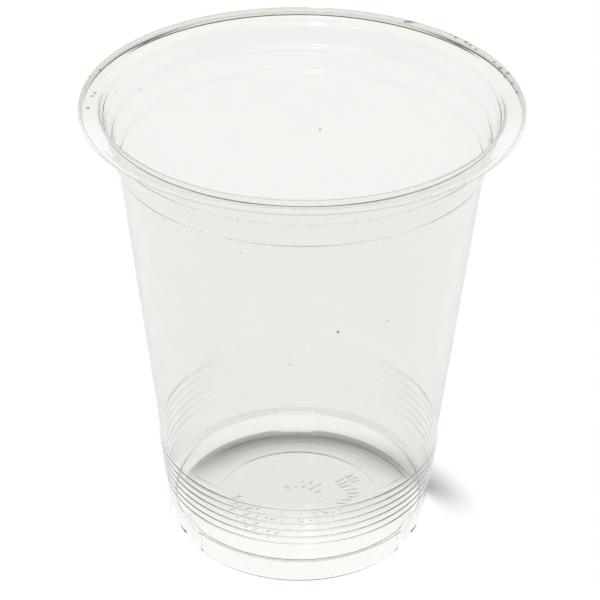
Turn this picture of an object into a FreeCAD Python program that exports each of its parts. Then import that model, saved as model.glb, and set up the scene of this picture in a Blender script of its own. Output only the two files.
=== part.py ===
import FreeCAD, Part
import math
import os

V = FreeCAD.Vector

# A corner rounded less than this is left sharp
least_round = 0.75

# Overall sizes of the cup, in millimetres; Z is up and the foot stands on Z = 0
height = 108.5
wall = 0.4

# Rolled rim: a flat band on top with a bevelled edge, a short skirt and a curl tucked in under it
rim_radius = 47.5
rim_band = 3.6
rim_depth = 1.8
rim_curl = 1.7
rim_edge_bevel = 0.4

# Neck and the two stacking steps below the rim, measured down from the rim's top
neck_ledge_drop = 2.4
neck_ledge_radius = 42.3
neck_ledge_width = 0.4
upper_step_drop = 7.7
upper_step_radius = 40.9
lower_step_drop = 13.4
lower_step_radius = 39.5
step_width = 0.75
step_rise = 0.5

# Tapered wall down to the ribs, and the ribbed band
rib_count = 6
rib_pitch = 2.05
rib_relief = 0.5
rib_valley = 0.12
lowest_rib_height = 13.5
rib_lead = 1.6

# Foot, and the ledge where the wall steps out over it
foot_radius = 29.3
foot_flat = 0.9
foot_round = 0.8
foot_undercut = 0.3
ledge_height = 6.9
ledge_width = 1.0
ledge_bevel = 0.6
ledge_bevel_height = 0.8

# The wall's own line, carried down to Z = 0, lies this far outside the foot
wall_set_out = 0.3

# Raised floor with its low central disc
floor_rise = 2.3
floor_slope_width = 2.2
disc_radius = 19.3
disc_rise = 0.25

# Three flat flutes pressed into the foot keep stacked cups from jamming
flute_count = 3
flute_azimuth = 91.25
flute_depth = 1.5
flute_lean = 0.5
flute_width = 12.7
flute_side_radius = 8.0
flute_top = 13.3
flute_run_out = 0.3
gusset_width = 4.1
gusset_rise = 0.5


def wall_radius(z):
    """Outside radius of the tapered wall at a height."""
    foot_line = foot_radius + wall_set_out
    return foot_line + (lower_step_radius - foot_line) * z / (height - lower_step_drop)


def rib_corners():
    """Crests and valleys of the ribbed band, from its lowest rib upwards."""
    corners = []
    for number in range(rib_count):
        crest = lowest_rib_height + number * rib_pitch
        corners.append((wall_radius(crest) + rib_relief, crest, 0.0))
        if number < rib_count - 1:
            valley = crest + rib_pitch / 2
            corners.append((wall_radius(valley) + rib_valley, valley, 0.0))
    top = lowest_rib_height + (rib_count - 1) * rib_pitch + rib_lead
    corners.append((wall_radius(top), top, 0.0))
    return corners


def floor_corners():
    """Underside of the floor, from the middle out to the foot's flat."""
    flat_edge = foot_radius - foot_round - foot_flat
    return [
        (0.0, floor_rise + disc_rise, 0.0),
        (disc_radius, floor_rise + disc_rise, 0.0),
        (disc_radius + disc_rise, floor_rise, 0.0),
        (flat_edge - floor_slope_width, floor_rise, 0.0),
        (flat_edge, 0.0, 0.0),
    ]


def foot_corners():
    """Outside of the foot, its ledge and the shoulder under the ribs."""
    shoulder = lowest_rib_height - rib_lead
    foot_top = foot_radius - foot_undercut
    return [
        (foot_radius, 0.0, foot_round),
        (foot_top, ledge_height, 0.0),
        (foot_top + ledge_width, ledge_height, 0.0),
        (foot_top + ledge_width + ledge_bevel, ledge_height + ledge_bevel_height, 0.0),
        (wall_radius(shoulder) + rib_valley, shoulder, 0.0),
    ]


def step_corners(radius, drop):
    """One stacking step: the wall jumps outwards on a short slope."""
    z = height - drop
    return [
        (radius, z, 0.0),
        (radius + step_width, z + step_rise, 0.0),
    ]


def neck_corners():
    """Flare from the upper step to the underside of the rim's band."""
    z = height - neck_ledge_drop
    return [
        (neck_ledge_radius, z, 0.0),
        (neck_ledge_radius + neck_ledge_width, z + neck_ledge_width / 2, 0.0),
        (rim_radius - rim_band, height - wall, 0.0),
    ]


def rim_corners():
    """Underside of the band, inside of the skirt and the tucked curl."""
    inside = rim_radius - wall
    under = height - wall
    bottom = height - rim_depth + wall
    return [
        (inside - rim_edge_bevel, under, 0.0),
        (inside, under - rim_edge_bevel, 0.0),
        (inside, bottom, 0.0),
        (inside - rim_curl, bottom, 0.0),
    ]


def profile_corners():
    """All corners of the outside path: (radius, height, rounding)."""
    corners = floor_corners() + foot_corners() + rib_corners()
    corners += step_corners(lower_step_radius, lower_step_drop)
    corners += step_corners(upper_step_radius, upper_step_drop)
    return corners + neck_corners() + rim_corners()


def unit(start, end):
    """Direction from one corner to the next."""
    dx = end[0] - start[0]
    dz = end[1] - start[1]
    length = math.hypot(dx, dz)
    return dx / length, dz / length


def offset_corners(corners, gap):
    """The same path moved to its left by the gap, roundings kept concentric."""
    moved = []
    last = len(corners) - 1
    for index, (x, z, rounding) in enumerate(corners):
        before = unit(corners[index - 1], corners[index]) if index > 0 else None
        after = unit(corners[index], corners[index + 1]) if index < last else None
        if before is None or after is None:
            dx, dz = before or after
            moved.append((x - dz * gap, z + dx * gap, 0.0))
            continue
        cosine = before[0] * after[0] + before[1] * after[1]
        turn = before[0] * after[1] - before[1] * after[0]
        reach = gap / (1 + cosine)
        new_x = x - (before[1] + after[1]) * reach
        new_z = z + (before[0] + after[0]) * reach
        side = -1 if turn > 0 else 1
        new_rounding = rounding + side * gap if rounding else 0.0
        moved.append((new_x, new_z, new_rounding))
    return moved


def path_edges(corners):
    """Straight runs and tangent arcs through the corners."""
    edges = []
    start = V(corners[0][0], 0, corners[0][1])
    for index in range(1, len(corners) - 1):
        x, z, rounding = corners[index]
        corner = V(x, 0, z)
        before = V(corners[index - 1][0], 0, corners[index - 1][1])
        after = V(corners[index + 1][0], 0, corners[index + 1][1])
        turn = (corner - before).getAngle(after - corner)
        if rounding > least_round and turn > 0.02:
            shorter = min(before.distanceToPoint(corner), after.distanceToPoint(corner))
            tangent = min(rounding * math.tan(turn / 2), 0.48 * shorter)
            radius = tangent / math.tan(turn / 2)
            inward = (before - corner).normalize()
            outward = (after - corner).normalize()
            middle = (inward + outward).normalize()
            depth = radius / math.cos(turn / 2) - radius
            arc_start = corner + inward * tangent
            arc_end = corner + outward * tangent
            edges.append(Part.makeLine(start, arc_start))
            edges.append(Part.Arc(arc_start, corner + middle * depth, arc_end).toShape())
            start = arc_end
        else:
            edges.append(Part.makeLine(start, corner))
            start = corner
    edges.append(Part.makeLine(start, V(corners[-1][0], 0, corners[-1][1])))
    return edges


def revolve(edges):
    """Turn a closed outline about the Z axis into a solid."""
    wire = Part.Wire(Part.__sortEdges__(edges))
    return Part.Face(wire).revolve(V(0, 0, 0), V(0, 0, 1), 360)


def make_shell():
    """The whole cup as one thin wall, before its flutes are pressed in."""
    outside = profile_corners()
    inside = offset_corners(outside, wall)
    edges = path_edges(outside) + path_edges(inside)
    for a, b in ((outside[0], inside[0]), (outside[-1], inside[-1])):
        edges.append(Part.makeLine(V(a[0], 0, a[1]), V(b[0], 0, b[1])))
    return revolve(edges)


def make_lower_body():
    """The foot and shoulder filled solid, which bounds the flutes' walls."""
    path = floor_corners() + foot_corners() + rib_corners()
    edges = path_edges(path)
    top = path[-1]
    edges.append(Part.makeLine(V(top[0], 0, top[1]), V(0, 0, top[1])))
    edges.append(Part.makeLine(V(0, 0, top[1]), V(0, 0, path[0][1])))
    return revolve(edges)


def flute_line():
    """Pressed-in line of a flute: the foot, its ledge, and the run out under the ribs."""
    below = 2.0
    deep = foot_radius - flute_depth
    return [
        (deep, -below, 0.0),
        (deep + flute_lean, ledge_height, 0.0),
        (deep + flute_lean + ledge_width, ledge_height, 0.0),
        (wall_radius(flute_top) + rib_relief + flute_run_out, flute_top, 0.0),
    ]


def make_gusset(inset):
    """Three-sided rib that stiffens a flute, widest at the foot, ending under the ledge."""
    start, end = offset_corners(flute_line(), inset)[:2]
    buried = 0.05
    stretch = (end[1] - start[1]) / end[1]
    half = gusset_width / 2 * stretch
    base = [V(start[0] - buried, -half, start[1])]
    base.append(V(start[0] - buried, half, start[1]))
    base.append(V(start[0] + gusset_rise * stretch, 0, start[1]))
    tip = V(end[0] - buried, 0, end[1])
    faces = [Part.Face(Part.makePolygon(base + base[:1]))]
    for first, second in zip(base, base[1:] + base[:1]):
        faces.append(Part.Face(Part.makePolygon([first, second, tip, first])))
    return Part.Solid(Part.Shell(faces))


def make_flute(inset):
    """One flute's tool: what is pressed in beyond the flute's line, with rounded sides."""
    line = offset_corners(flute_line(), inset)
    outer = rim_radius
    points = [V(x, 0, z) for x, z, rounding in line]
    points.append(V(outer, 0, line[-1][1]))
    points.append(V(outer, 0, line[0][1]))
    half = flute_width / 2
    middle = math.sqrt(foot_radius ** 2 - half ** 2) + math.sqrt(flute_side_radius ** 2 - half ** 2)
    tall = line[-1][1] - line[0][1]
    column = Part.makeCylinder(flute_side_radius + inset, tall, V(middle, 0, line[0][1]))
    press = Part.Face(Part.makePolygon(points + points[:1])).extrude(V(0, 2 * rim_radius, 0))
    press.translate(V(0, -rim_radius, 0))
    return press.common(column).cut(make_gusset(inset))


def make_cup():
    """The finished cup, with the flutes pressed through its foot."""
    cup = make_shell()
    body = make_lower_body()
    step = 360.0 / flute_count
    for number in range(flute_count):
        azimuth = flute_azimuth + number * step
        tool = make_flute(0.0)
        skin = make_flute(wall).cut(tool)
        for shape in (tool, skin):
            shape.rotate(V(0, 0, 0), V(0, 0, 1), azimuth)
        cup = cup.cut(tool).fuse(skin.common(body))
    return cup.removeSplitter()


def main():
    os.makedirs("parts", exist_ok=True)
    cup = make_cup()
    print("cup", cup.isValid(), len(cup.Solids), "solid", round(cup.Volume, 1), "mm3")
    box = cup.BoundBox
    print("size", round(box.XLength, 2), round(box.YLength, 2), round(box.ZLength, 2), "low", round(box.ZMin, 3))
    cup.exportStep("parts/cup.step")


main()
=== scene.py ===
import math

import bpy
from mathutils import Matrix, Vector


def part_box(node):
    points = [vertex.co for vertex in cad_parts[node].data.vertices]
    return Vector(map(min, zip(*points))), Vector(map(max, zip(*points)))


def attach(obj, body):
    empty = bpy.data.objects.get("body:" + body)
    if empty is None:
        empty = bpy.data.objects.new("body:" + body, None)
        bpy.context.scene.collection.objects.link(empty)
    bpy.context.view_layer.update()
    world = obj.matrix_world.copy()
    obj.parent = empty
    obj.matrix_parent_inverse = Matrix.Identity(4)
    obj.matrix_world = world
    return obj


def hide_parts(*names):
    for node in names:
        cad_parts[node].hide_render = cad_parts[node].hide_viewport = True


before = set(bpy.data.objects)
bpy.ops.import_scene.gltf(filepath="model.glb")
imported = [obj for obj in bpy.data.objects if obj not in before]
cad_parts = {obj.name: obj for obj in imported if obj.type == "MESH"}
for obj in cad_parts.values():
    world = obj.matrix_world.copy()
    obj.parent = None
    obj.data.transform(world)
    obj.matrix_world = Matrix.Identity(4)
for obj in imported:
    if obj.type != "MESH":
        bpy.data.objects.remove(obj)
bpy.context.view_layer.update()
cupLow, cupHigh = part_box("cup")
mm = 0.001
cupHeight = (cupHigh.z - cupLow.z) / mm


# Shader maths: a socket that can be added, multiplied and compared in plain expressions
class Value:
    def __init__(self, nodes, socket):
        self.nodes = nodes
        self.socket = socket

    def calc(self, operation, *others):
        inputs = {index + 1: other for index, other in enumerate(others)}
        inputs[0] = self
        return self.nodes.add("ShaderNodeMath", {"operation": operation}, inputs)[0]

    def __add__(self, other):
        return self.calc("ADD", other)

    def __sub__(self, other):
        return self.calc("SUBTRACT", other)

    def __mul__(self, other):
        return self.calc("MULTIPLY", other)

    def __rsub__(self, other):
        return (self * -1) + other

    __radd__ = __add__
    __rmul__ = __mul__

    def below(self, limit):
        return self.calc("LESS_THAN", limit)

    def most(self, other):
        return self.calc("MAXIMUM", other)

    def ramp(self, low, high):
        inputs = {"Value": self, "From Min": low, "From Max": high}
        return self.nodes.add("ShaderNodeMapRange", {"interpolation_type": "SMOOTHSTEP"}, inputs)[0]

    def rise(self, limits):  # a ramp between two places given in millimetres
        return self.ramp(limits[0] * mm, limits[1] * mm)

    def fall(self, limits):
        return 1 - self.rise(limits)


# Adds nodes to a material or the world: the type, its settings, then the values or links of its sockets
class Nodes:
    def __init__(self, owner):
        owner.use_nodes = True
        self.tree = owner.node_tree
        self.tree.nodes.clear()

    def add(self, kind, settings=None, inputs=None):
        node = self.tree.nodes.new(kind)
        for name, setting in (settings or {}).items():
            setattr(node, name, setting)
        for name, given in (inputs or {}).items():
            if isinstance(given, Value):
                self.tree.links.new(given.socket, node.inputs[name])
            else:
                node.inputs[name].default_value = given
        return [Value(self, socket) for socket in node.outputs]

    def mixColour(self, factor, first, second):
        inputs = {0: factor, 6: first, 7: second}
        return self.add("ShaderNodeMix", {"data_type": "RGBA"}, inputs)[2]

    def noise(self, place, scale, detail=2.0):
        return self.add("ShaderNodeTexNoise", None, {"Vector": place, "Scale": scale, "Detail": detail})[0]

    def stretch(self, place, scale):
        return self.add("ShaderNodeMapping", None, {"Vector": place, "Scale": scale})[0]

    def vectorMath(self, operation, first, second=None):
        inputs = {0: first} if second is None else {0: first, 1: second}
        vector, number = self.add("ShaderNodeVectorMath", {"operation": operation}, inputs)
        return number if operation in ("DISTANCE", "LENGTH", "DOT_PRODUCT") else vector


def deselectAll():
    bpy.ops.object.select_all(action="DESELECT")


def applyModifier(piece, kind, settings):
    modifier = piece.modifiers.new(kind.lower(), kind)
    for name, setting in settings.items():
        setattr(modifier, name, setting)
    bpy.ops.object.modifier_apply(modifier=modifier.name)


def turnPiece(piece, degrees):
    piece.rotation_euler.z = math.radians(degrees)
    bpy.ops.object.transform_apply(location=False, rotation=True, scale=False)


def smooth(value):
    value = min(1.0, max(0.0, value))
    return value * value * (3 - 2 * value)


# The cup's sizes, in millimetres
cupShape = {
    "wall": 0.4,
    "rimBand": 4.2, "rimDepth": 1.8, "rimCurl": 0.6, "rimEdgeRound": 0.95, "rimInnerRound": 1.0,
    "neckLedgeDrop": 2.75, "neckLedgeRadius": 42.6,
    "neckLedgeWidth": 0.5, "neckLedgeRise": 0.57, "neckRound": 0.35,
    "upperStepDrop": 7.7, "upperStepRadius": 40.9,
    "lowerStepDrop": 13.4, "lowerStepRadius": 39.5,
    "stepWidth": 0.75, "stepRise": 0.68, "innerRound": 0.6, "outerRound": 0.8,
    "ribCount": 6, "ribPitch": 2.05, "ribRelief": 0.45, "ribValley": 0.15, "ribRound": 0.7,
    "ribUnder": 0.7, "lowestUnder": 0.7, "lowestRibHeight": 13.5, "ribLead": 1.6,
    "footRadius": 29.3, "footFlat": 0.9, "footRound": 0.8, "footChamfer": 1.15,
    "footUndercut": 0.3, "wallSetOut": 0.3,
    "ledgeHeight": 6.9, "ledgeWidth": 1.0, "ledgeBevel": 0.6, "ledgeBevelHeight": 0.8,
    "ledgeSlope": 0.05, "ledgeRound": 0.45,
    "floorRise": 1.17, "floorSlope": 3.8, "floorRound": 2.5,
    "discRadius": 19.3, "discRise": 0.25, "discSlope": 0.6, "discRound": 0.25,
    "marksFrom": 4.4, "marksTo": 18.3,
    # degrees: an arc's cuts, the spin's steps near the flutes and between them, how far near reaches,
    # and the sharpest edge that is still shaded smooth
    "arcStep": 20.0, "fineStep": 0.75, "coarseStep": 1.5, "fineReach": 15.0, "smoothAngle": 50.0,
}


def wallRadius(shape, z):
    # outside of the tapered wall: its line, carried down to the table, lies a little outside the foot
    footLine = shape["footRadius"] + shape["wallSetOut"]
    return footLine + (shape["lowerStepRadius"] - footLine) * z / (cupHeight - shape["lowerStepDrop"])


def cupCorners(shape):
    # the outside, from the middle of the floor to the curl of the rim, one line for each corner:
    # radius, height, rounding and the cuts in the straight run that follows
    rim = cupHigh.y / mm
    lowerStep = cupHeight - shape["lowerStepDrop"]
    upperStep = cupHeight - shape["upperStepDrop"]
    disc = shape["floorRise"] + shape["discRise"]
    floor = shape["floorRise"]
    shoulder = shape["lowestRibHeight"] - shape["ribLead"]
    footRound = shape["footRound"]
    footChamfer = shape["footChamfer"]
    flatEdge = shape["footRadius"] - footRound - shape["footFlat"]
    footTop = shape["footRadius"] - shape["footUndercut"]
    ledge = shape["ledgeHeight"]
    ledgeEdge = footTop + shape["ledgeWidth"]
    innerRound = shape["innerRound"]
    outerRound = shape["outerRound"]
    corners = [
        (0.0, disc, 0, 1),
        (shape["marksFrom"], disc, 0, 19),
        (shape["marksTo"], disc, 0, 0),
        (shape["discRadius"], disc, shape["discRound"], 0),
        (shape["discRadius"] + shape["discSlope"], floor, shape["discRound"], 1),
        (flatEdge - shape["floorSlope"], floor, shape["floorRound"], 0),
        (flatEdge, 0.0, footRound, 0),
        (shape["footRadius"] - footChamfer, 0.0, footChamfer, 0),
        (shape["footRadius"], footChamfer, footChamfer, 7),
        (footTop, ledge - shape["ledgeSlope"], shape["ledgeRound"], 0),
        (ledgeEdge, ledge + shape["ledgeSlope"], shape["ledgeRound"], 0),
        (ledgeEdge + shape["ledgeBevel"], ledge + shape["ledgeBevelHeight"], outerRound, 4),
        (wallRadius(shape, shoulder) + shape["ribValley"], shoulder, innerRound, 0),
    ]
    for number in range(shape["ribCount"]):
        crest = shape["lowestRibHeight"] + number * shape["ribPitch"]
        if number == 0:  # the lowest rib starts from a valley of its own
            foot = crest - shape["lowestUnder"]
            corners.append((wallRadius(shape, foot) + shape["ribValley"], foot, shape["ribRound"], 0))
        corners.append((wallRadius(shape, crest) + shape["ribRelief"], crest, shape["ribRound"], 0))
        if number < shape["ribCount"] - 1:
            valley = crest + shape["ribPitch"] - shape["ribUnder"]
            corners.append((wallRadius(shape, valley) + shape["ribValley"], valley, shape["ribRound"], 0))
    top = shape["lowestRibHeight"] + (shape["ribCount"] - 1) * shape["ribPitch"] + shape["ribLead"]
    corners.append((wallRadius(shape, top), top, innerRound, 5))
    for radius, z in ((shape["lowerStepRadius"], lowerStep), (shape["upperStepRadius"], upperStep)):
        corners.append((radius, z, innerRound, 0))
        corners.append((radius + shape["stepWidth"], z + shape["stepRise"], outerRound, 1))
    neckLedge = cupHeight - shape["neckLedgeDrop"]
    neckWidth = shape["neckLedgeWidth"]
    neckRound = shape["neckRound"]
    under = cupHeight - shape["wall"]
    inside = rim - shape["wall"]
    bottom = cupHeight - shape["rimDepth"] + shape["wall"]
    edgeRound = shape["rimEdgeRound"] - shape["wall"]
    corners += [
        (shape["neckLedgeRadius"], neckLedge, neckRound, 0),
        (shape["neckLedgeRadius"] + neckWidth, neckLedge + shape["neckLedgeRise"], neckRound, 0),
        (rim - shape["rimBand"], under, shape["rimInnerRound"], 1),
        (inside, under, edgeRound, 0),
        (inside, bottom, edgeRound, 0),
        (inside - shape["rimCurl"], bottom, 0, 0),
    ]
    return corners


def roundedPath(corners, arcStep):
    # straight runs with their cuts, and arcs tangent to them
    leastTurn = 0.02  # radians; a flatter corner isn't rounded
    mostOfRun = 0.46  # the share of a run that one arc may take
    path = [Vector((0, corners[0][0], corners[0][1]))]
    cuts = corners[0][3]

    def straight(end):
        start = path[-1]
        for number in range(1, cuts + 2):
            path.append(start.lerp(end, number / (cuts + 1)))

    for before, here, after in zip(corners, corners[1:], corners[2:]):
        corner = Vector((0, here[0], here[1]))
        back = Vector((0, before[0], before[1])) - corner
        on = Vector((0, after[0], after[1])) - corner
        turn = math.pi - back.angle(on)
        if here[2] == 0 or turn < leastTurn:
            straight(corner)
            cuts = here[3]
            continue
        tangent = min(here[2] * math.tan(turn / 2), mostOfRun * back.length, mostOfRun * on.length)
        radius = tangent / math.tan(turn / 2)
        centre = corner + (back.normalized() + on.normalized()).normalized() * (radius / math.cos(turn / 2))
        first = corner + back.normalized() * tangent
        last = corner + on.normalized() * tangent
        straight(first)
        steps = max(2, round(math.degrees(turn) / arcStep))
        spoke, lastSpoke = (first - centre).normalized(), (last - centre).normalized()
        for number in range(1, steps + 1):
            path.append(centre + spoke.slerp(lastSpoke, number / steps) * radius)
        cuts = here[3]
    straight(Vector((0, corners[-1][0], corners[-1][1])))
    return [point * mm for point in path]


def lathe(name, path, sectors):
    # a plane merged to one point is drawn out along the path, which is then spun round the cup's axis
    deselectAll()
    bpy.ops.mesh.primitive_plane_add(size=mm, location=(0, 0, 0))
    piece = bpy.context.object
    piece.name = name
    bpy.ops.object.mode_set(mode="EDIT")
    bpy.ops.mesh.select_mode(type="VERT")
    bpy.ops.mesh.select_all(action="SELECT")
    bpy.ops.mesh.merge(type="CENTER")
    bpy.ops.transform.translate(value=path[0])
    for start, end in zip(path, path[1:]):
        bpy.ops.mesh.extrude_vertices_move(TRANSFORM_OT_translate={"value": end - start})
    bpy.ops.mesh.select_all(action="SELECT")
    for angle, step in sectors:
        bpy.ops.mesh.spin(steps=round(angle / step), angle=math.radians(angle), center=(0, 0, 0), axis=(0, 0, 1))
    bpy.ops.mesh.select_all(action="SELECT")
    bpy.ops.mesh.remove_doubles(threshold=0.001 * mm)
    bpy.ops.mesh.normals_make_consistent(inside=False)
    bpy.ops.object.mode_set(mode="OBJECT")
    widest = max(piece.data.polygons, key=lambda face: face.area)  # on the wall, so it faces outwards
    if widest.normal.dot(widest.center * Vector((1, 1, 0))) < 0:
        piece.data.flip_normals()
    return piece


# Three flutes pressed into the foot: flat in the middle, softly rounded at the sides, each with a low gusset
fluteShape = {
    "azimuth": 91.25, "count": 3, "depth": 1.5, "top": 13.0,
    "flatHalf": 3.9, "footHalf": 5.4, "ledgeHalf": 6.35, "topHalf": 7.2, "archHeight": 2.2,
    "dip": 0.55, "dipFrom": 1.5, "dipTo": 12.5,
    "gussetHalf": 2.15, "gussetTop": 6.8, "gussetRise": 0.3,
    "footFrom": 0.1, "footTo": 2.4, "inside": 27.0, "steepest": 4.0,
}


def pressFlutes(piece, flute, ledge):
    def sideFade(x, z):
        half = flute["footHalf"] + (flute["ledgeHalf"] - flute["footHalf"]) * min(1.0, z / ledge)
        half += (flute["topHalf"] - flute["ledgeHalf"]) * min(1.0, max(0.0, z - ledge) / (flute["top"] - ledge))
        arch = max(0.0, z - flute["top"] + flute["archHeight"]) / flute["archHeight"]
        half *= math.sqrt(max(0.0, 1 - arch * arch))
        flat = flute["flatHalf"] * half / flute["topHalf"]
        return smooth((half - abs(x)) / max(0.1, half - flat))

    def depthAt(x, y, z):
        radius = math.hypot(x, y)
        if y < flute["inside"] or z > flute["top"] or abs(x) > flute["topHalf"]:
            return 0.0
        depth = flute["depth"] * (1 - z / flute["top"])
        high = max(0.0, 1 - z / flute["gussetTop"])
        gusset = flute["gussetHalf"] * high
        if abs(x) < gusset:
            depth -= flute["gussetRise"] * high * (1 - abs(x) / gusset)
        depth *= smooth((z - flute["footFrom"]) / (flute["footTo"] - flute["footFrom"]))
        return max(0.0, depth - (radius - y)) * sideFade(x, z)

    def dipAt(x, y, z):
        if y < flute["inside"] or not flute["dipFrom"] < z < flute["dipTo"] or abs(x) > flute["topHalf"]:
            return 0.0
        end = flute["dipFrom"] if z < ledge else flute["dipTo"]
        return flute["dip"] * smooth((z - end) / (ledge - end)) * sideFade(x, z)

    turnPiece(piece, 90 - flute["azimuth"])
    for third in range(flute["count"]):
        places = [vertex.co / mm for vertex in piece.data.vertices]
        for direction, moveAt in (("Y", depthAt), ("Z", dipAt)):
            group = piece.vertex_groups.new(name="flute")
            for index, place in enumerate(places):
                move = moveAt(*place)
                if move > 0:
                    group.add([index], move / flute["steepest"], "REPLACE")
            applyModifier(piece, "DISPLACE", {
                "direction": direction, "strength": -flute["steepest"] * mm, "mid_level": 0.0,
                "vertex_group": "flute"})
            piece.vertex_groups.clear()
        turnPiece(piece, 360 / flute["count"])
    turnPiece(piece, flute["azimuth"] - 90)


# Low generic marks on the disc: bars and dots only, in polar places on the disc's own faces
markShape = {
    "rise": 0.18, "facingUp": 0.9, "levelGap": 0.05,
    # radius from and to, azimuth of the first, step, count, width in degrees
    "rows": [
        (14.3, 17.2, 172.0, 7.5, 4, 1.6), (13.0, 15.1, 176.0, 7.5, 3, 1.6),
        (11.5, 14.3, 196.0, 9.0, 4, 2.2), (9.4, 10.7, 200.0, 12.0, 3, 3.0),
        (7.3, 10.0, 232.0, 14.0, 3, 3.6), (6.6, 7.9, 236.0, 12.0, 4, 3.0),
        (5.8, 8.6, 276.0, 16.0, 4, 4.6), (9.4, 10.7, 322.0, 9.0, 3, 3.0),
        (9.4, 12.8, 352.0, 7.5, 2, 2.6), (12.2, 15.1, 7.0, 6.0, 3, 1.6),
        (11.5, 14.3, 26.0, 6.0, 3, 1.6), (15.1, 17.2, 30.0, 4.5, 3, 1.6),
        (5.2, 6.6, 36.0, 20.0, 5, 7.0), (7.3, 8.6, 52.0, 15.0, 3, 4.0),
        (12.9, 14.3, 222.0, 9.0, 4, 1.6), (15.1, 16.5, 206.0, 7.5, 6, 1.6),
    ],
}


def raiseMarks(piece, marks, level):
    deselectAll()
    piece.select_set(True)
    bpy.context.view_layer.objects.active = piece

    def marked(face):
        centre = face.center / mm
        if face.normal.z < marks["facingUp"] or abs(centre.z - level) > marks["levelGap"]:
            return False
        radius = math.hypot(centre.x, centre.y)
        azimuth = math.degrees(math.atan2(centre.y, centre.x)) % 360
        for near, far, first, step, count, width in marks["rows"]:
            if near < radius < far:
                turned = (azimuth - first + width / 2) % 360
                if turned < step * (count - 1) + width and turned % step < width:
                    return True
        return False

    bpy.ops.object.mode_set(mode="EDIT")
    bpy.ops.mesh.select_mode(type="FACE")
    bpy.ops.mesh.select_all(action="DESELECT")
    bpy.ops.object.mode_set(mode="OBJECT")
    for face in piece.data.polygons:
        face.select = marked(face)
    print("faces of the marks:", sum(face.select for face in piece.data.polygons))
    bpy.ops.object.mode_set(mode="EDIT")
    bpy.ops.mesh.extrude_region_move(TRANSFORM_OT_translate={"value": (0, 0, marks["rise"] * mm)})
    bpy.ops.object.mode_set(mode="OBJECT")


def makeCup():
    path = roundedPath(cupCorners(cupShape), cupShape["arcStep"])
    near = (cupShape["fineReach"], cupShape["fineStep"])
    between = (360 / fluteShape["count"] - 2 * cupShape["fineReach"], cupShape["coarseStep"])
    cup = lathe("cup_body", path, [near, between, near] * fluteShape["count"])
    applyModifier(cup, "SOLIDIFY", {
        "thickness": cupShape["wall"] * mm, "offset": -1.0, "use_even_offset": True, "use_quality_normals": True})
    pressFlutes(cup, fluteShape, cupShape["ledgeHeight"])
    raiseMarks(cup, markShape, cupShape["floorRise"] + cupShape["discRise"] + cupShape["wall"])
    bpy.ops.object.shade_smooth_by_angle(angle=math.radians(cupShape["smoothAngle"]))
    cup.data.calc_loop_triangles()
    print("cup modelled:", len(path), "rows,", len(cup.data.loop_triangles), "triangles")
    return cup


# Clear, slightly warm and milky plastic, with painted light and painted shade in its colour; heights, widths and
# distances from the axis in millimetres
plasticLook = {
    "ior": 1.49, "roughness": 0.03,
    "tint": (0.905, 0.895, 0.875, 1.0),
    # painted light: lighter low on the front, on the front of the rim and on the foot's own wall
    "paintedLightTint": (1.0, 0.995, 0.975, 1.0), "frontFade": (-16.0, 0.0), "lowFade": (11.0, 26.0),
    "footWallRadius": (26.5, 27.5), "footWallTop": (6.2, 7.0),
    # painted shade: the rim darker on its back and sides
    "rimShadeTint": (0.935, 0.925, 0.89, 1.0), "rimFade": (105.5, 107.5),
    # a painted dark line of shade around the outside of the rim's skirt
    "skirtShadeTint": (0.62, 0.6, 0.55, 1.0), "skirtRadius": (46.6, 46.9),
    "skirtFoot": (106.4, 106.5), "skirtTop": (106.9, 107.2),
    # painted shade on the back half: a painted shadow on the heel and the floor inside it, and two painted dark
    # lines at the ledge
    "backFade": (4.0, 16.0),
    "heelShadowTint": (0.47, 0.47, 0.44, 1.0), "heelTop": (1.55, 1.85), "heelRadius": (17.0, 29.5),
    # two painted lines of shade at the back of the ledge
    "ledgeShadeTint": (0.74, 0.73, 0.69, 1.0),
    "ledgeLines": [((6.9, 7.0), (7.2, 7.3)), ((7.45, 7.55), (7.7, 7.8))],
    # flow streaks along the wall
    "streakScale": 160.0, "streakStretch": (1, 1, 0.25), "streakStrength": 0.2, "streakDepth": 0.02,
    # the shadow of the wall where the lamp grazes it, on one side and below the neck
    "shadowFacing": (0.72, 0.95), "shadowDepth": 0.75,
    "shadowAzimuth": 74.0, "shadowSide": (0.42, 0.68), "shadowTop": (90.0, 100.0),
    "dirtTint": (0.30, 0.27, 0.20, 1.0), "dirtEdge": (0.62, 0.72), "scuffEdge": (0.6, 2.6),
    "scuffShare": 0.55, "grainShare": 0.6, "grainScale": 2600.0, "grainDetail": 3.0,
    # scuffs on the rim's band: distance from the axis, azimuth, size
    "scuffs": [
        (45.8, 59.2, 0.45), (46.3, 58.3, 0.5), (46.7, 57.3, 0.4), (47.0, 56.5, 0.3),
        (46.9, 44.6, 0.35), (46.5, 42.3, 0.4), (46.5, 38.3, 0.4), (46.2, 36.1, 0.35), (46.0, 33.2, 0.3),
        (46.0, 23.9, 0.3), (45.9, 20.0, 0.4), (45.3, 14.4, 0.3), (46.6, 16.5, 0.4), (45.9, 10.5, 0.3),
        (46.1, 5.0, 0.3), (44.6, 180.0, 0.3), (44.2, 178.0, 0.3), (45.3, 187.0, 0.35),
        (45.8, 164.0, 0.3), (47.3, 168.0, 0.35),
    ],
    "speckTint": (0.12, 0.10, 0.07, 1.0), "speckEdge": (0.7, 1.3), "neckSetOut": 0.9,
    # azimuth, height, size, darkness
    "specks": [
        (151.9, 100.5, 0.32, 0.5), (83.6, 81.5, 0.34, 0.7), (282.2, 73.1, 0.32, 1.0),
        (299.4, 73.4, 0.24, 0.5), (252.2, 92.4, 0.24, 0.4), (266.9, 64.7, 0.24, 0.4),
        (269.9, 58.2, 0.22, 0.4), (224.3, 94.7, 0.22, 0.4), (221.3, 102.9, 0.22, 0.4),
    ],
}


def awayFrom(nodes, place, radius, azimuth, z):
    # distance of the surface from a spot given in polar places
    turn = math.radians(azimuth)
    spot = Vector((math.cos(turn) * radius, math.sin(turn) * radius, z)) * mm
    return nodes.vectorMath("DISTANCE", place, spot)


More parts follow.
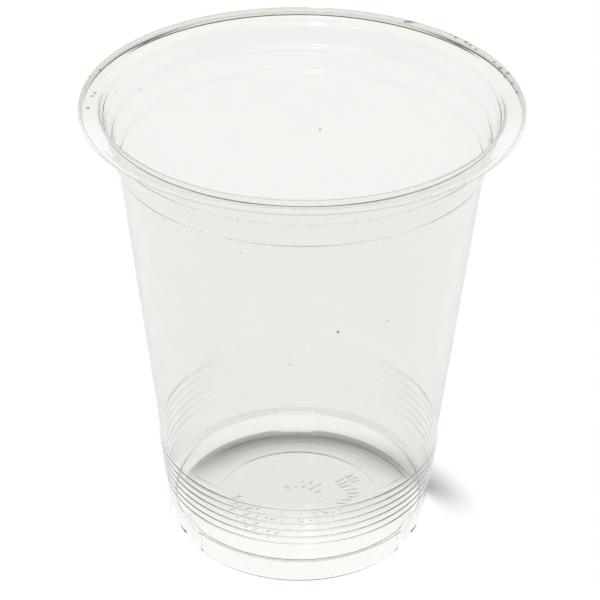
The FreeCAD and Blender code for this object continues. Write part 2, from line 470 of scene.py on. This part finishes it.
def speckMask(nodes, place, look):
    small, large = look["speckEdge"]
    mask = None
    for azimuth, z, size, darkness in look["specks"]:
        inNeck = z > cupHeight - cupShape["lowerStepDrop"]
        radius = wallRadius(cupShape, z) + (look["neckSetOut"] if inNeck else 0)
        gap = awayFrom(nodes, place, radius, azimuth, z)
        dark = gap.fall((size * small, size * large)) * darkness
        mask = dark if mask is None else mask.most(dark)
    return mask


def scuffMask(nodes, place, look):
    small, large = look["scuffEdge"]
    mask = None
    for radius, azimuth, size in look["scuffs"]:
        gap = awayFrom(nodes, place, radius, azimuth, cupHigh.z / mm)
        near = gap.fall((size * small, size * large))
        mask = near if mask is None else mask.most(near)
    grain = nodes.noise(place, look["grainScale"], look["grainDetail"])
    return (mask * look["scuffShare"] + grain * look["grainShare"]).ramp(*look["dirtEdge"])


def plasticColour(nodes, place, radius, look):
    y, z = nodes.add("ShaderNodeSeparateXYZ", None, {0: place})[1:]
    front = y.fall(look["frontFade"])
    back = y.rise(look["backFade"])
    rim = z.rise(look["rimFade"])
    footWall = radius.rise(look["footWallRadius"]) * z.fall(look["footWallTop"])
    # painted light low on the front, on the front of the rim and on the foot's own wall
    paintedLightMask = (z.fall(look["lowFade"]) * front).most(footWall).most(rim * front)
    colour = nodes.mixColour(paintedLightMask, look["tint"], look["paintedLightTint"])
    # painted shade on the rim's back and sides
    colour = nodes.mixColour(rim * (1 - front), colour, look["rimShadeTint"])
    # painted line of shade around the rim's skirt
    skirt = radius.rise(look["skirtRadius"]) * z.rise(look["skirtFoot"]) * z.fall(look["skirtTop"])
    colour = nodes.mixColour(skirt, colour, look["skirtShadeTint"])
    # painted shadow on the back of the heel and the floor inside it
    heel = z.fall(look["heelTop"]) * back * radius.rise(look["heelRadius"])
    colour = nodes.mixColour(heel, colour, look["heelShadowTint"])
    # two painted lines of shade at the back of the ledge
    lowLine, highLine = [z.rise(foot) * z.fall(top) for foot, top in look["ledgeLines"]]
    colour = nodes.mixColour((lowLine + highLine) * back, colour, look["ledgeShadeTint"])
    colour = nodes.mixColour(scuffMask(nodes, place, look), colour, look["dirtTint"])
    return nodes.mixColour(speckMask(nodes, place, look), colour, look["speckTint"])


def clearPlastic(look):
    material = bpy.data.materials.new("clear_plastic_film")
    nodes = Nodes(material)
    place = nodes.add("ShaderNodeTexCoord")[3]
    outwards = nodes.vectorMath("MULTIPLY", place, (1, 1, 0))
    radius = nodes.vectorMath("LENGTH", outwards)
    streaks = nodes.noise(nodes.stretch(place, look["streakStretch"]), look["streakScale"])
    ripple = nodes.add("ShaderNodeBump", None, {
        "Height": streaks, "Strength": look["streakStrength"], "Distance": look["streakDepth"] * mm})[0]
    body = nodes.add("ShaderNodeBsdfPrincipled", None, {
        "Base Color": plasticColour(nodes, place, radius, look), "IOR": look["ior"],
        "Roughness": look["roughness"], "Transmission Weight": 1.0, "Normal": ripple})[0]
    # light passes straight through, apart from the shadow that the wall throws where the lamp grazes it
    clear = nodes.add("ShaderNodeBsdfTransparent")[0]
    shadowRay, diffuseRay = nodes.add("ShaderNodeLightPath")[1:3]
    facing = nodes.add("ShaderNodeLayerWeight", None, {"Blend": 0.5})[1]
    turn = math.radians(look["shadowAzimuth"])
    side = nodes.vectorMath("DOT_PRODUCT", nodes.vectorMath("NORMALIZE", outwards),
                            (math.cos(turn), math.sin(turn), 0)).ramp(*look["shadowSide"])
    low = nodes.add("ShaderNodeSeparateXYZ", None, {0: place})[2].fall(look["shadowTop"])
    grazed = facing.ramp(*look["shadowFacing"]) * side * low * look["shadowDepth"]
    through = diffuseRay.most(shadowRay * (1 - grazed))
    mixed = nodes.add("ShaderNodeMixShader", None, {0: through, 1: body, 2: clear})[0]
    nodes.add("ShaderNodeOutputMaterial", None, {"Surface": mixed})
    return material


# White table, one lamp nearly overhead, and a sky that darkens upwards where the plastic reflects it;
# the sky's limits are sines of the height in it, and its glow and flash are the lamps it mirrors
studio = {
    "floorSize": 4.0, "floorColour": (1.0, 1.0, 1.0, 1.0), "floorGap": 0.02,
    "sunStrength": 2.45, "sunSoftness": 7.0, "sunElevation": 82.6, "sunAzimuth": 101.0,
    "skyLight": 0.24, "skyHorizon": 0.6, "skyMiddle": 0.65, "skyTop": 0.35,
    "skyLow": 0.15, "skyHalfway": 0.5, "skyHigh": 0.9,
    "glowStrength": 0.7, "glowElevation": 45.0, "glowAzimuth": 265.0, "glowInner": 20.0, "glowOuter": 40.0,
    "flashStrength": 14.0, "flashElevation": 50.0, "flashAzimuth": 260.0, "flashEdge": (0.9975, 0.999),
}


def makeFloor(plan):
    deselectAll()
    bpy.ops.mesh.primitive_plane_add(size=plan["floorSize"], location=(0, 0, cupLow.z - plan["floorGap"] * mm))
    floor = bpy.context.object
    floor.name = "studio_floor"
    material = bpy.data.materials.new("studio_white")
    nodes = Nodes(material)
    white = nodes.add("ShaderNodeBsdfDiffuse", None, {"Color": plan["floorColour"]})[0]
    nodes.add("ShaderNodeOutputMaterial", None, {"Surface": white})
    floor.data.materials.append(material)


def makeLights(plan):
    tilt = math.radians(90 - plan["sunElevation"])
    turn = math.radians(plan["sunAzimuth"] + 90)
    bpy.ops.object.light_add(type="SUN", location=(0, 0, 1), rotation=(tilt, 0, turn))
    sun = bpy.context.object
    sun.data.energy = plan["sunStrength"]
    sun.data.angle = math.radians(plan["sunSoftness"])
    sun.visible_glossy = False
    sun.visible_transmission = False
    world = bpy.data.worlds.new("studio_sky")
    bpy.context.scene.world = world
    nodes = Nodes(world)
    direction = nodes.add("ShaderNodeTexCoord")[0]
    height = nodes.add("ShaderNodeSeparateXYZ", None, {0: direction})[2]

    def towards(elevation, azimuth):  # the cosine between a direction and a place in the sky
        rise = math.radians(elevation)
        turn = math.radians(azimuth)
        way = (math.cos(rise) * math.cos(turn), math.cos(rise) * math.sin(turn), math.sin(rise))
        return nodes.vectorMath("DOT_PRODUCT", direction, way)

    lowerSky = height.ramp(plan["skyLow"], plan["skyHalfway"])
    upperSky = height.ramp(plan["skyHalfway"], plan["skyHigh"])
    sky = plan["skyHorizon"] - lowerSky * (plan["skyHorizon"] - plan["skyMiddle"])
    sky = sky - upperSky * (plan["skyMiddle"] - plan["skyTop"])
    flash = towards(plan["flashElevation"], plan["flashAzimuth"])
    sky = sky + flash.ramp(*plan["flashEdge"]) * plan["flashStrength"]
    glow = towards(plan["glowElevation"], plan["glowAzimuth"])
    glowEdge = [math.cos(math.radians(plan[name])) for name in ("glowOuter", "glowInner")]
    sky = sky + glow.ramp(*glowEdge) * plan["glowStrength"]
    path = nodes.add("ShaderNodeLightPath")
    camera, glossy, transmission, diffuseDepth = path[0], path[3], path[6], path[10]
    # what the plastic mirrors or bends, before the light has met anything dull
    mirrored = (glossy + transmission).calc("MINIMUM", 1.0) * diffuseDepth.below(0.5)
    strength = camera + (1 - camera) * (mirrored * sky + (1 - mirrored) * plan["skyLight"])
    light = nodes.add("ShaderNodeBackground", None, {"Color": (1, 1, 1, 1), "Strength": strength})[0]
    nodes.add("ShaderNodeOutputWorld", None, {"Surface": light})


# The camera as worked out from the photograph, whose image is 600 pixels wide; lengths in millimetres
view = {
    "distance": 477.1, "elevation": 32.016, "focus": 50.0, "roll": 0.596,
    "focalPixels": 2124.0, "imagePixels": 600, "rightPixels": 0.2, "downPixels": -1.94, "sensor": 36.0,
}


def makeCamera(plan):
    tilt = math.radians(plan["elevation"])
    target = Vector((0, 0, cupHigh.z - plan["focus"] * mm))
    away = Vector((0, -math.cos(tilt), math.sin(tilt)))
    data = bpy.data.cameras.new("photo_view")
    data.sensor_width = plan["sensor"]
    data.lens = plan["focalPixels"] / plan["imagePixels"] * plan["sensor"]
    data.shift_x = -plan["rightPixels"] / plan["imagePixels"]
    data.shift_y = plan["downPixels"] / plan["imagePixels"]
    camera = bpy.data.objects.new("photo_view", data)
    bpy.context.collection.objects.link(camera)
    turn = Matrix.Rotation(math.pi / 2 - tilt, 4, "X") @ Matrix.Rotation(math.radians(plan["roll"]), 4, "Z")
    camera.matrix_world = Matrix.Translation(target + away * plan["distance"] * mm) @ turn
    bpy.context.scene.camera = camera


cup = makeCup()
cup.data.materials.append(clearPlastic(plasticLook))
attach(cup, "root")
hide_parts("cup")
print("cup dressed")

makeFloor(studio)
makeLights(studio)
makeCamera(view)
bpy.context.scene.view_settings.view_transform = "Standard"
print("studio ready")
